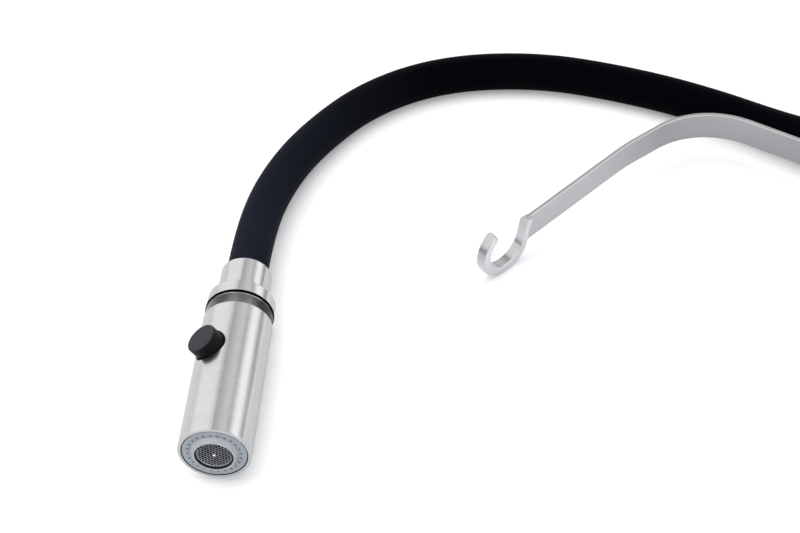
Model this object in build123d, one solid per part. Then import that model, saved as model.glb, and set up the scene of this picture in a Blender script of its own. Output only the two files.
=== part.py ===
"""Kitchen mixer tap with a steel strip arm, a rubber spray hose and a pull-out spray head.

The tap lies on its side, as it does before it is fitted.  Sizes are in millimetres.
The origin is the centre of the deck face on the column's axis.  The column runs along -X, which is
up when the tap is fitted.  -Y points over the sink, +Z points away from the surface that the tap lies on.
"""

import os
from math import asin, cos, degrees, pi, radians, sin, tan

from build123d import *

# Fits
FIXED_FIT = 0.1
RUNNING_FIT = 0.3
SEAT_GAP = 0.2

# Column, as heights above the deck
COLUMN_RADIUS = 21.0
COLUMN_WALL = 2.0
FLANGE_HEIGHT = 8.0
FLANGE_SPIGOT = 6.0
COLUMN_TOP = 142.0
VALVE_HEIGHT = 72.0
VALVE_BODY_TOP = 102.0
VALVE_BODY_RADIUS = 15.0
VALVE_BODY_FOOT = 8.0
DECK_SEAL_DEPTH = 2.0
DECK_SEAL_INNER = 17.5
DECK_SEAL_OUTER = 19.9
REGISTER_RADIUS = 17.2
REGISTER_HEIGHT = 4.0
SET_SCREW_RADIUS = 2.0
SET_SCREW_SOCKET = 1.1
SOCKET_DEPTH = 2.0

# Deck fixing, below the deck
SHANK_RADIUS = 16.0
SHANK_BORE = 13.0
SHANK_LENGTH = 55.0
THREAD_PITCH = 2.0
THREAD_DEPTH = 0.9
THREAD_CREST = 0.2
DECK_THICKNESS = 30.0
RUBBER_WASHER = 3.0
STEEL_WASHER = 2.5
NUT_HEIGHT = 10.0
FIXING_RADIUS = 20.5

# Water inlets in the valve body
INLET_RADIUS = 4.5
INLET_DEPTH = 12.0
INLET_OFFSET = 6.5
WATERWAY_RADIUS = 3.0

# Swivel at the top of the column
SPIGOT_PLUG = 14.0
SPIGOT_FLANGE = 4.0
SPIGOT_RADIUS = 9.4
SPIGOT_LENGTH = 32.0
WATER_BORE = 5.0
RISER_RADIUS = 6.0
RISER_WALL = 1.2
RISER_SOCKET = 5.0
BUSH_WALL = 1.0
BUSH_FLANGE = 0.8
BUSH_LENGTH = 10.0
BUSH_FLANGE_RADIUS = 16.0
CARRIER_RADIUS = 20.8
CARRIER_HEIGHT = 29.4
CIRCLIP_HEIGHT = 1.0
CIRCLIP_WIDTH = 2.6

# Strip arm with its hook
STRIP_WIDTH = 17.2
STRIP_THICKNESS = 2.2
STRIP_EDGE = 0.7
STRIP_OFFSET = 16.4
STRIP_FOOT = 150.0
STRIP_BEND_HEIGHT = 289.9
STRIP_BEND_TURN = 66.5
STRIP_BEND_RADIUS = 46.0
STRIP_EASE_RUN = 53.8
STRIP_EASE_TURN = 7.1
STRIP_EASE_RADIUS = 120.0
STRIP_LEG = 94.5
HOOK_INNER = 12.15
HOOK_WALL = 5.4
HOOK_DEPTH = 5.5
HOOK_BACK_PROUD = 1.3
HOOK_TIP_ANGLE = 60.0
HOOK_POST_LEAN = 13.0
HOOK_END_ROUND = 2.3
HOOK_FAIRING = 1.8
HOOK_EDGE = 0.35
SCREW_RADIUS = 2.0
SCREW_HEAD_RADIUS = 3.4
SCREW_HEAD_HEIGHT = 1.6
SCREW_REACH = 3.0
SCREW_SOCKET = 1.4
SCREW_HEIGHTS = (157.0, 169.0)

# Mixing valve on the side of the column, as distances from the column's axis
HOUSING_SEAT = 12.0
HOUSING_FLOOR = 8.0
HOUSING_RADIUS = 16.5
HOUSING_END = 45.8
BOSS_RADIUS = 13.5
CARTRIDGE_RADIUS = 12.5
CARTRIDGE_WALL = 2.3
CARTRIDGE_HEIGHT = 15.8
SEAL_HEIGHT = 2.0
DISC_HEIGHT = 4.0
DISC_PORT = 2.0
MOVING_DISC_RADIUS = 6.8
STEM_NECK_RADIUS = 8.6
NUT_RING_HEIGHT = 6.8
PIVOT_DISTANCE = 36.0
PIVOT_RADIUS = 1.2
PIVOT_LENGTH = 15.0
CAP_HEIGHT = 2.4
CAP_GAP = 0.4
FLOW_ANGLE = 20.0

# Lever
SPINDLE_RADIUS = 3.0
SPINDLE_TIP = 29.2
TIP_CLEARANCE = 0.8
HUB_RADIUS = 9.0
HUB_START = 56.0
HUB_HEIGHT = 14.0
ROD_RADIUS = 4.0
ROD_LENGTH = 86.0
ROD_SOCKET = 3.0
GRUB_RADIUS = 1.5
GRUB_SOCKET = 0.8

# Spray head, as distances from its face
HEAD_FACE = (-390.5, -345.8)
HEAD_HEADING = 116.1
HEAD_TILT = 2.2
HEAD_RADIUS = 17.5
HEAD_WALL = 1.6
SHELL_LENGTH = 82.4
SHELL_EDGE = 0.5
GROOVE_WIDTH = 6.2
NECK_RADIUS = 8.75
NECK_FLANGE = 0.6
NECK_FLANGE_RADIUS = 16.9
NECK_PLUG = 15.0
NECK_POCKET = 10.0
NECK_POCKET_DEPTH = 10.0
COLLAR_SEAL_HEIGHT = 1.1
COLLAR_SEAL_PROUD = 0.25
COLLAR_RADIUS = 17.1
COLLAR_HEIGHT = 7.15
COLLAR_EDGE = 0.5
FERRULE_RADIUS = 12.95
FERRULE_LENGTH = 20.0
FERRULE_RECESS = 4.0
FERRULE_EDGE = 0.9
NIPPLE_RADIUS = 6.0
NIPPLE_BORE = 4.0
NIPPLE_RING_RADIUS = 8.5
CHECK_VALVE_LENGTH = 10.0
ORING_SECTION = 0.5
ORING_GROOVE = 2.0

# Water outlets in the face
FACE_RECESS = 0.2
FACE_HEIGHT = 4.4
FACE_SEAL_WIDTH = 0.45
NOZZLE_COUNT = 24
NOZZLE_CIRCLE = 12.75
NOZZLE_TURN = -4.5
NOZZLE_RADIUS = 0.6
NOZZLE_BORE = 0.42
NOZZLE_PROUD = 0.1
AERATOR_BASE = 11.6
AERATOR_TIP = 10.2
AERATOR_PROUD = 2.2
AERATOR_BORE = 9.3
AERATOR_DEPTH = 12.0
AERATOR_EDGE = 0.3
MESH_DEPTH = 0.5
MESH_HEIGHT = 1.6
MESH_PITCH = 1.95
MESH_CELL = 0.85
MESH_RINGS = 4

# Spray button, as distances from the head's axis
BUTTON_FROM_NECK = 12.1
BUTTON_ROLL = 35.0
BUTTON_RADIUS = 8.1
BUTTON_PROUD = 5.5
BUTTON_FOOT = 13.0
BUTTON_EDGE = 0.6
BUTTON_TRAVEL = 3.0
SLEEVE_WALL = 0.5
SLEEVE_FOOT = 9.0
POCKET_FLOOR = 3.5
STEM_RADIUS = 2.5
STEM_REACH = 6.0
SPRING_RADIUS = 4.6
SPRING_WIRE = 0.8
SPRING_TURNS = 5

# Spray hose
HOSE_RADIUS = 10.5
HOSE_END_STRAIGHT = 34.0
HOSE_BASE_STRAIGHT = 20.0
HOSE_FERRULE_LENGTH = 16.0
ARC_SHARE = 0.45
HOSE_CURVE = (
    (-241.0, 4.9), (-296.0, 3.8), (-342.0, -3.5), (-389.0, -17.1), (-434.0, -46.8), (-461.0, -87.0),
)
HOSE_RISE = ((-470.0, -136.0, 1.0), (-466.0, -178.0, 4.5))

# Places that follow from the sizes above
FLOOR = -COLUMN_RADIUS
COLLAR_SEAL_RADIUS = COLLAR_RADIUS + COLLAR_SEAL_PROUD
COLUMN_BORE = COLUMN_RADIUS - COLUMN_WALL
SHANK_TOP = FLANGE_HEIGHT + FLANGE_SPIGOT
SPIGOT_BASE = COLUMN_TOP + SPIGOT_FLANGE
SPIGOT_TOP = SPIGOT_BASE + SPIGOT_LENGTH
BUSH_INNER = SPIGOT_RADIUS + FIXED_FIT
BUSH_OUTER = BUSH_INNER + BUSH_WALL
CARRIER_BASE = SPIGOT_BASE + BUSH_FLANGE + SEAT_GAP
CARRIER_TOP = CARRIER_BASE + CARRIER_HEIGHT
CARRIER_BORE = BUSH_OUTER + RUNNING_FIT
NECK_BASE = SHELL_LENGTH
FLANGE_BASE = NECK_BASE + GROOVE_WIDTH
COLLAR_SEAL_BASE = FLANGE_BASE + NECK_FLANGE + SEAT_GAP
COLLAR_BASE = COLLAR_SEAL_BASE + COLLAR_SEAL_HEIGHT
FERRULE_BASE = COLLAR_BASE + COLLAR_HEIGHT
HEAD_RISE = COLLAR_BASE * sin(radians(HEAD_TILT))
HEAD_HEIGHT = FLOOR + max(HEAD_RADIUS, COLLAR_SEAL_RADIUS) + HEAD_RISE
FERRULE_MOUTH = FERRULE_BASE + FERRULE_LENGTH
HEAD_BORE = HEAD_RADIUS - HEAD_WALL
BASE_FERRULE_FOOT = SPIGOT_TOP + CIRCLIP_HEIGHT
HOSE_EXIT = BASE_FERRULE_FOOT + HOSE_FERRULE_LENGTH
HOOK_OUTER = HOOK_INNER + HOOK_WALL
CARTRIDGE_BASE = HOUSING_SEAT + HOUSING_FLOOR
CARTRIDGE_BORE = CARTRIDGE_RADIUS - CARTRIDGE_WALL
FIXED_DISC_BASE = CARTRIDGE_BASE + SEAL_HEIGHT
MOVING_DISC_BASE = FIXED_DISC_BASE + DISC_HEIGHT + FIXED_FIT
STEM_BASE = MOVING_DISC_BASE + DISC_HEIGHT + SEAT_GAP
CARTRIDGE_TOP = CARTRIDGE_BASE + CARTRIDGE_HEIGHT
CAP_BASE = HOUSING_END + CAP_GAP
CAP_TOP = CAP_BASE + CAP_HEIGHT
SLEEVE_BORE = BUTTON_RADIUS + RUNNING_FIT
SLEEVE_RADIUS = SLEEVE_BORE + SLEEVE_WALL
BUTTON_TOP = HEAD_RADIUS + BUTTON_PROUD
BUTTON_FROM_FACE = SHELL_LENGTH - NECK_PLUG - BUTTON_FROM_NECK

# Frames: Z of each is the axis that its pieces are turned on
COLUMN = Plane(origin=(0, 0, 0), x_dir=(0, -1, 0), z_dir=(-1, 0, 0)).location
VALVE = Plane(origin=(-VALVE_HEIGHT, 0, 0), x_dir=(-1, 0, 0), z_dir=(0, 0, 1)).location
HEAD_AXIS = Vector(1, 0, 0).rotate(Axis.Y, HEAD_TILT).rotate(Axis.Z, HEAD_HEADING)
HEAD_ORIGIN = Vector(*HEAD_FACE, HEAD_HEIGHT)
HEAD = Plane(origin=HEAD_ORIGIN, x_dir=(0, 0, 1), z_dir=HEAD_AXIS).location
BUTTON = HEAD * Pos(0, 0, BUTTON_FROM_FACE) * Rot(0, 0, -BUTTON_ROLL) * Rot(0, 90, 0)

UP = Vector(-1, 0, 0)
LEG = UP.rotate(Axis.Z, STRIP_BEND_TURN + STRIP_EASE_TURN)
BEND_CORNER = Vector(-STRIP_BEND_HEIGHT, -STRIP_OFFSET, 0)
EASE_CORNER = BEND_CORNER + UP.rotate(Axis.Z, STRIP_BEND_TURN) * STRIP_EASE_RUN
HOOK_CENTRE = EASE_CORNER + LEG * STRIP_LEG
HOOK_LEAN = degrees(asin((COLUMN_RADIUS - HOOK_OUTER - SEAT_GAP) / abs(HOOK_CENTRE.Y)))
ARM = Rot(HOOK_LEAN, 0, 0)

BASE = (Align.CENTER, Align.CENTER, Align.MIN)
SAME = 1e-3


def rod(low, high, radius):
    """A plain cylinder on Z between two heights."""
    return Pos(0, 0, low) * Cylinder(radius, high - low, align=BASE)


def ring(low, high, outer, inner):
    """A plain tube on Z between two heights."""
    return rod(low, high, outer) - rod(low, high, inner)


def block(low, high, length, width):
    """A box on Z between two heights."""
    return Pos(0, 0, low) * Box(length, width, high - low, align=BASE)


def turned(*points):
    """A solid turned on Z from its half outline, given as (radius, height) points."""
    outline = Polyline(*[(radius, 0, height) for radius, height in points], close=True)
    return revolve(make_face(outline), Axis.Z)


def edges_at(solid, height, radius):
    """The circular edges of a turned solid at one height and radius."""
    found = solid.edges().filter_by(GeomType.CIRCLE)
    return [e for e in found if abs(e.center().Z - height) < SAME and abs(e.radius - radius) < SAME]


def base_flange():
    """Base ring on the deck: register for the tap hole, seal groove, spigot for the column."""
    body = rod(0, FLANGE_HEIGHT, COLUMN_RADIUS) + rod(FLANGE_HEIGHT, SHANK_TOP, COLUMN_BORE - FIXED_FIT)
    body += rod(-REGISTER_HEIGHT, 0, REGISTER_RADIUS)
    body -= rod(-REGISTER_HEIGHT, SHANK_TOP, SHANK_RADIUS + FIXED_FIT)
    body -= ring(0, DECK_SEAL_DEPTH, DECK_SEAL_OUTER + FIXED_FIT, DECK_SEAL_INNER - FIXED_FIT)
    body = chamfer(edges_at(body, FLANGE_HEIGHT, COLUMN_RADIUS), SHELL_EDGE)
    return COLUMN * (body - set_screw_hole())


def set_screw_place():
    """Place of the set screw at the back of the column's foot."""
    return Pos(0, 0, FLANGE_HEIGHT + FLANGE_SPIGOT / 2) * Rot(0, -90, 0)


def set_screw_hole():
    """Radial hole for the set screw."""
    return set_screw_place() * rod(SHANK_RADIUS, 2 * COLUMN_RADIUS, SET_SCREW_RADIUS + FIXED_FIT)


def socket(top, radius):
    """Hexagon socket that goes down from a height on Z."""
    return Pos(0, 0, top - SOCKET_DEPTH) * extrude(RegularPolygon(radius, 6), SOCKET_DEPTH)


def column_set_screw():
    """Set screw that locks the column to the base ring."""
    top = COLUMN_RADIUS - SHELL_EDGE
    screw = rod(SHANK_RADIUS + SEAT_GAP, top, SET_SCREW_RADIUS)
    return COLUMN * set_screw_place() * (screw - socket(top, SET_SCREW_SOCKET))


def deck_seal():
    """Flat seal in the base ring."""
    return COLUMN * ring(0, DECK_SEAL_DEPTH, DECK_SEAL_OUTER, DECK_SEAL_INNER)


def threaded_shank():
    """Hollow shank with ring-cut thread that passes through the deck."""
    core = SHANK_RADIUS - THREAD_DEPTH
    turns = int((SHANK_LENGTH - REGISTER_HEIGHT) / THREAD_PITCH)
    points = [(SHANK_BORE, -SHANK_LENGTH), (core, -SHANK_LENGTH)]
    for turn in range(turns):
        start = -SHANK_LENGTH + turn * THREAD_PITCH
        middle = start + THREAD_PITCH / 2
        points.append((core, start + THREAD_CREST * THREAD_PITCH))
        points.append((SHANK_RADIUS, middle))
        points.append((SHANK_RADIUS, middle + THREAD_CREST * THREAD_PITCH))
        points.append((core, start + THREAD_PITCH))
    top = SHANK_TOP - FIXED_FIT
    points += [(SHANK_RADIUS, 0), (SHANK_RADIUS, top), (SHANK_BORE, top)]
    return COLUMN * turned(*points)


def rubber_washer():
    """Soft washer under the deck."""
    top = -DECK_THICKNESS
    return COLUMN * ring(top - RUBBER_WASHER, top, FIXING_RADIUS, SHANK_RADIUS + FIXED_FIT)


def steel_washer():
    """Steel washer between the soft washer and the nut."""
    top = -DECK_THICKNESS - RUBBER_WASHER
    return COLUMN * ring(top - STEEL_WASHER, top, FIXING_RADIUS, SHANK_RADIUS + FIXED_FIT)


def shank_nut():
    """Hexagon nut that clamps the tap to the deck."""
    top = -DECK_THICKNESS - RUBBER_WASHER - STEEL_WASHER
    body = Pos(0, 0, top - NUT_HEIGHT) * extrude(RegularPolygon(FIXING_RADIUS, 6), NUT_HEIGHT)
    return COLUMN * (body - rod(top - NUT_HEIGHT, top, SHANK_RADIUS + FIXED_FIT))


def column_tube():
    """Outer tube of the column, with the hole for the mixing valve."""
    body = ring(FLANGE_HEIGHT, COLUMN_TOP, COLUMN_RADIUS, COLUMN_BORE)
    body = COLUMN * (body - set_screw_hole())
    return body - VALVE * rod(0, 2 * COLUMN_RADIUS, HOUSING_RADIUS + FIXED_FIT)


def valve_body():
    """Cast core that takes cold and hot water to the valve and mixed water to the riser."""
    foot_top = SHANK_TOP + VALVE_BODY_FOOT
    body = rod(SHANK_TOP, foot_top, COLUMN_BORE - FIXED_FIT)
    body += rod(foot_top, VALVE_BODY_TOP, VALVE_BODY_RADIUS)
    body -= rod(VALVE_BODY_TOP - RISER_SOCKET, VALVE_BODY_TOP, RISER_RADIUS + FIXED_FIT)
    body -= rod(VALVE_HEIGHT, VALVE_BODY_TOP, WATER_BORE)
    for side in (-1, 1):
        body -= Pos(side * INLET_OFFSET, 0, 0) * rod(SHANK_TOP, SHANK_TOP + INLET_DEPTH, INLET_RADIUS)
        body -= Pos(side * INLET_OFFSET, 0, 0) * rod(SHANK_TOP, VALVE_HEIGHT, WATERWAY_RADIUS)
    body = COLUMN * body
    body -= VALVE * block(HOUSING_SEAT, 2 * COLUMN_RADIUS, 2 * COLUMN_BORE, 2 * COLUMN_BORE)
    body += VALVE * rod(VALVE_BODY_RADIUS / 2, HOUSING_SEAT, BOSS_RADIUS)
    for port in valve_ports(0):
        body -= port
    return body - VALVE * rod(0, HOUSING_SEAT, WATERWAY_RADIUS)


def valve_ports(start):
    """Two waterways from the inlets up to the valve's seat."""
    reach = rod(start, CARTRIDGE_BASE, WATERWAY_RADIUS)
    return [VALVE * Pos(0, side * INLET_OFFSET, 0) * reach for side in (-1, 1)]


def valve_housing():
    """Side housing that holds the valve cartridge."""
    body = rod(HOUSING_SEAT, HOUSING_END, HOUSING_RADIUS)
    body -= rod(CARTRIDGE_BASE, HOUSING_END, CARTRIDGE_RADIUS + FIXED_FIT)
    body -= rod(HOUSING_SEAT, CARTRIDGE_BASE, WATERWAY_RADIUS)
    body = chamfer(edges_at(body, HOUSING_END, HOUSING_RADIUS), SHELL_EDGE)
    body = VALVE * body
    for port in valve_ports(HOUSING_SEAT):
        body -= port
    return body


def cartridge_case():
    """Plastic case of the valve cartridge."""
    return VALVE * ring(CARTRIDGE_BASE, CARTRIDGE_TOP, CARTRIDGE_RADIUS, CARTRIDGE_BORE)


def cartridge_seal():
    """Soft seal under the fixed disc, with its three water holes."""
    body = rod(CARTRIDGE_BASE, FIXED_DISC_BASE, CARTRIDGE_BORE - FIXED_FIT)
    return VALVE * (body - disc_ports())


def disc_ports():
    """Three water holes through the fixed disc and its seal."""
    reach = rod(CARTRIDGE_BASE, FIXED_DISC_BASE + DISC_HEIGHT, DISC_PORT)
    return reach + [Pos(0, side * INLET_OFFSET, 0) * reach for side in (-1, 1)]


def fixed_ceramic_disc():
    """Ceramic disc that stays in the cartridge."""
    body = rod(FIXED_DISC_BASE, FIXED_DISC_BASE + DISC_HEIGHT, CARTRIDGE_BORE - FIXED_FIT)
    return VALVE * (body - disc_ports())


def moving_ceramic_disc():
    """Ceramic disc that slides over the fixed one, with a pocket for the spindle's tip."""
    tilt = radians(FLOW_ANGLE)
    travel = (PIVOT_DISTANCE - SPINDLE_TIP) * sin(tilt)
    disc = rod(MOVING_DISC_BASE, MOVING_DISC_BASE + DISC_HEIGHT, MOVING_DISC_RADIUS)
    pocket = rod(SPINDLE_TIP - TIP_CLEARANCE, STEM_BASE, SPINDLE_RADIUS / cos(tilt) + RUNNING_FIT)
    return VALVE * (Pos(-travel / 2, 0, 0) * disc - pocket)


def cartridge_nut():
    """Threaded ring that holds the cartridge in its housing."""
    inner = STEM_NECK_RADIUS + RUNNING_FIT
    return VALVE * ring(CARTRIDGE_TOP, CARTRIDGE_TOP + NUT_RING_HEIGHT, CARTRIDGE_RADIUS, inner)


def tilt_reach(height):
    """How far the tilted spindle gets from the valve's axis at a height above the pivot."""
    tilt = radians(FLOW_ANGLE)
    return (height - PIVOT_DISTANCE) * tan(tilt) + SPINDLE_RADIUS / cos(tilt) + RUNNING_FIT


def stem_carrier():
    """Turning carrier of the cartridge, slotted for the spindle."""
    flange_top = CARTRIDGE_TOP - SEAT_GAP
    body = rod(STEM_BASE, flange_top, CARTRIDGE_BORE - RUNNING_FIT)
    body += rod(flange_top, CAP_BASE, STEM_NECK_RADIUS)
    body -= block(STEM_BASE, CAP_BASE, 2 * tilt_reach(CAP_BASE), 2 * (SPINDLE_RADIUS + RUNNING_FIT))
    return VALVE * (body - across(PIVOT_LENGTH, PIVOT_RADIUS + FIXED_FIT))


def across(length, radius):
    """A cylinder on the lever's pivot."""
    return Pos(0, 0, PIVOT_DISTANCE) * Rot(90, 0, 0) * Cylinder(radius, length)


def pivot_pin():
    """Pin that the lever tilts on."""
    return VALVE * across(PIVOT_LENGTH, PIVOT_RADIUS)


def cover_cap():
    """Steel cap over the cartridge, slotted for the lever."""
    body = rod(CAP_BASE, CAP_TOP, HOUSING_RADIUS)
    body = fillet(edges_at(body, CAP_TOP, HOUSING_RADIUS), CAP_HEIGHT / 2)
    half_width = SPINDLE_RADIUS + RUNNING_FIT
    length = tilt_reach(CAP_TOP) + half_width
    slot = extrude(SlotOverall(length, 2 * half_width), CAP_HEIGHT)
    return VALVE * (body - Pos(half_width - length / 2, 0, CAP_BASE) * slot)


def lever_spindle():
    """Spindle from the moving disc through the pivot to the lever's hub."""
    body = rod(SPINDLE_TIP, HUB_START, SPINDLE_RADIUS)
    return VALVE * (body - across(PIVOT_LENGTH, PIVOT_RADIUS + RUNNING_FIT))


def rod_place():
    """Place of the lever rod: Z runs out along the rod."""
    return Pos(0, 0, HUB_START + HUB_HEIGHT / 2) * Rot(0, 90, 0)


def lever_hub():
    """Hub that carries the lever rod, with a socket for it and a hole for its grub screw."""
    top = HUB_START + HUB_HEIGHT
    body = rod(HUB_START, top, HUB_RADIUS)
    body = fillet(edges_at(body, top, HUB_RADIUS) + edges_at(body, HUB_START, HUB_RADIUS), 2 * SHELL_EDGE)
    body -= rod_place() * rod(ROD_SOCKET, 2 * HUB_RADIUS, ROD_RADIUS + FIXED_FIT)
    return VALVE * (body - rod_place() * rod(-HUB_RADIUS, ROD_SOCKET, GRUB_RADIUS + FIXED_FIT))


def lever_rod():
    """Slim lever rod with a rounded end."""
    body = rod(ROD_SOCKET, ROD_LENGTH, ROD_RADIUS)
    body = fillet(edges_at(body, ROD_LENGTH, ROD_RADIUS), ROD_RADIUS - SHELL_EDGE)
    return VALVE * rod_place() * body


def lever_grub_screw():
    """Grub screw at the back of the hub."""
    top = HUB_RADIUS - SHELL_EDGE
    body = rod(-ROD_SOCKET, top, GRUB_RADIUS) - socket(top, GRUB_SOCKET)
    return VALVE * rod_place() * Rot(0, 180, 0) * body


def riser_tube():
    """Tube from the valve body to the swivel."""
    low = VALVE_BODY_TOP - RISER_SOCKET
    high = COLUMN_TOP - SPIGOT_PLUG + RISER_SOCKET
    return COLUMN * ring(low, high, RISER_RADIUS, RISER_RADIUS - RISER_WALL)


def swivel_spigot():
    """Plug in the column's top, with the spigot that the arm turns on."""
    low = COLUMN_TOP - SPIGOT_PLUG
    body = rod(low, COLUMN_TOP, COLUMN_BORE - FIXED_FIT) + rod(COLUMN_TOP, SPIGOT_BASE, COLUMN_RADIUS)
    body = chamfer(edges_at(body, SPIGOT_BASE, COLUMN_RADIUS), SHELL_EDGE)
    body += rod(SPIGOT_BASE, SPIGOT_TOP, SPIGOT_RADIUS)
    body -= rod(low, low + RISER_SOCKET, RISER_RADIUS + FIXED_FIT)
    body -= rod(low, SPIGOT_TOP, WATER_BORE)
    body -= rod(SPIGOT_TOP - BUSH_LENGTH, SPIGOT_TOP, NIPPLE_RADIUS + FIXED_FIT)
    groove = low + SPIGOT_PLUG / 2 - ORING_GROOVE / 2
    body -= ring(groove, groove + ORING_GROOVE, COLUMN_BORE, COLUMN_BORE - 3 * ORING_SECTION)
    return COLUMN * body


def plug_oring():
    """O-ring between the plug and the column tube."""
    groove = COLUMN_TOP - SPIGOT_PLUG / 2
    middle = COLUMN_BORE - 1.5 * ORING_SECTION
    return COLUMN * Pos(0, 0, groove) * Torus(middle, ORING_SECTION)


def swivel_bush_lower():
    """Flanged plastic bush under the arm's carrier."""
    low = SPIGOT_BASE
    sleeve = ring(low, CARRIER_BASE + BUSH_LENGTH, BUSH_OUTER, BUSH_INNER)
    return COLUMN * (sleeve + ring(low, low + BUSH_FLANGE, BUSH_FLANGE_RADIUS, BUSH_INNER))


def swivel_bush_upper():
    """Plain plastic bush near the carrier's top."""
    return COLUMN * ring(CARRIER_TOP - BUSH_LENGTH, CARRIER_TOP, BUSH_OUTER, BUSH_INNER)


def swivel_circlip():
    """Split ring that keeps the arm on its spigot."""
    low = SPIGOT_TOP - CIRCLIP_HEIGHT
    body = ring(low, SPIGOT_TOP, BUSH_OUTER + CIRCLIP_WIDTH, SPIGOT_RADIUS + FIXED_FIT)
    gap = block(low, SPIGOT_TOP, 3 * CIRCLIP_WIDTH, CIRCLIP_WIDTH)
    return COLUMN * (body - Pos(-SPIGOT_RADIUS - CIRCLIP_WIDTH, 0, 0) * gap)


def hose_base_nipple():
    """Nipple that screws into the spigot and carries the base ferrule."""
    seat = HOSE_EXIT - FERRULE_RECESS
    return COLUMN * ring(SPIGOT_TOP - BUSH_LENGTH, seat, NIPPLE_RADIUS, NIPPLE_BORE)


def ferrule(low, high):
    """Crimped steel sleeve, open at its top for the hose."""
    body = rod(low, high, FERRULE_RADIUS)
    body = fillet(edges_at(body, high, FERRULE_RADIUS), FERRULE_EDGE)
    body -= rod(low, high, NIPPLE_RADIUS + FIXED_FIT)
    return body - rod(high - FERRULE_RECESS, high, HOSE_RADIUS + FIXED_FIT)


def hose_base_ferrule():
    """Ferrule where the hose leaves the column."""
    return COLUMN * ferrule(BASE_FERRULE_FOOT, HOSE_EXIT)


def hose_head_ferrule():
    """Ferrule where the hose meets the spray head."""
    return HEAD * ferrule(FERRULE_BASE, FERRULE_MOUTH)


def hose_route():
    """Points that the hose follows from the column to the spray head."""
    lying = FLOOR + HOSE_RADIUS
    start = Vector(-HOSE_EXIT + FERRULE_RECESS, 0, 0)
    end = HEAD_ORIGIN + HEAD_AXIS * (FERRULE_MOUTH - FERRULE_RECESS)
    points = [start, start - Vector(HOSE_BASE_STRAIGHT, 0, 0)]
    points += [Vector(x, y, lying) for x, y in HOSE_CURVE]
    points += [Vector(x, y, lying + lift) for x, y, lift in HOSE_RISE]
    return points + [end + HEAD_AXIS * HOSE_END_STRAIGHT, end]


def bend_radii(points):
    """The largest bend that the two runs at each inner point allow."""
    radii = []
    for before, here, after in zip(points, points[1:], points[2:]):
        turn = radians((here - before).get_angle(after - here))
        shorter = min((here - before).length, (after - here).length)
        radii.append(ARC_SHARE * shorter / tan(turn / 2))
    return radii


def spray_hose():
    """Smooth rubber hose that lies in a wide curve."""
    points = hose_route()
    radii = bend_radii(points)
    path = FilletPolyline(*points, radius=radii)
    start = Plane(origin=points[0], z_dir=points[1] - points[0])
    hose = sweep(start * Circle(HOSE_RADIUS), path=path)
    filled = hose.volume / (pi * HOSE_RADIUS**2 * path.length)
    print("hose bend radii", [round(r, 1) for r in radii])
    print("hose length", round(path.length, 1), "volume / section x length", round(filled, 4))
    return hose


def carrier_ring():
    """Ring that turns on the spigot, with a milled slot for the strip."""
    body = ring(CARRIER_BASE, CARRIER_TOP, CARRIER_RADIUS, CARRIER_BORE)
    top_edge = edges_at(body, CARRIER_TOP, CARRIER_RADIUS)
    body = chamfer(top_edge + edges_at(body, CARRIER_BASE, CARRIER_RADIUS), SHELL_EDGE)
    back = STRIP_OFFSET - STRIP_THICKNESS / 2 - FIXED_FIT
    slot = block(STRIP_FOOT - FIXED_FIT, CARRIER_TOP, COLUMN_RADIUS, STRIP_WIDTH + 2 * FIXED_FIT)
    body -= Pos(back + COLUMN_RADIUS / 2, 0, 0) * slot
    hole = rod(back - SCREW_REACH - FIXED_FIT, back, SCREW_RADIUS + FIXED_FIT)
    for height in SCREW_HEIGHTS:
        body -= screw_place(height) * hole
    return ARM * COLUMN * body


def screw_place(height):
    """Place of a screw of the strip: Z runs out over the sink."""
    return Pos(0, 0, height) * Rot(0, 90, 0)


def arm_screws():
    """Two screws that hold the strip in the carrier ring."""
    front = STRIP_OFFSET + STRIP_THICKNESS / 2
    back = STRIP_OFFSET - STRIP_THICKNESS / 2 - FIXED_FIT
    top = front + SCREW_HEAD_HEIGHT
    screw = rod(back - SCREW_REACH, front, SCREW_RADIUS) + rod(front, top, SCREW_HEAD_RADIUS)
    screw -= socket(top, SCREW_SOCKET)
    return Compound(children=[ARM * COLUMN * screw_place(height) * screw for height in SCREW_HEIGHTS])


def hook_frame():
    """Frame in the middle of the hook: X along the strip's leg, Z on the ring's axis."""
    across_strip = LEG.cross(Vector(0, 0, 1))
    shift = (HOOK_DEPTH - STRIP_THICKNESS) / 2 - HOOK_BACK_PROUD
    return ARM * Plane(origin=HOOK_CENTRE - across_strip * shift, x_dir=LEG, z_dir=across_strip).location


def post_foot():
    """Where the hook's leaning post meets its ring, with Y along the post."""
    middle = HOOK_INNER + HOOK_WALL / 2
    lean = radians(HOOK_POST_LEAN)
    return Pos(-middle * cos(lean), -middle * sin(lean)) * Rot(0, 0, HOOK_POST_LEAN)


def hook_outline():
    """Open ring with a straight post on the strip's side."""
    middle = HOOK_INNER + HOOK_WALL / 2
    foot = post_foot().position
    rise = (STRIP_WIDTH / 2 - foot.Y) / cos(radians(HOOK_POST_LEAN))
    top = (post_foot() * Pos(0, rise)).position
    bow = CenterArc((0, 0), middle, 180 + HOOK_POST_LEAN, 180 + HOOK_TIP_ANGLE - HOOK_POST_LEAN)
    return trace(Line(top, foot) + bow, HOOK_WALL)


def hook_rims(body):
    """Edges of the hook's two flat sides."""
    return [e for e in body.edges() if abs(abs(e.center().Z) - HOOK_DEPTH / 2) < SAME]


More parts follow.
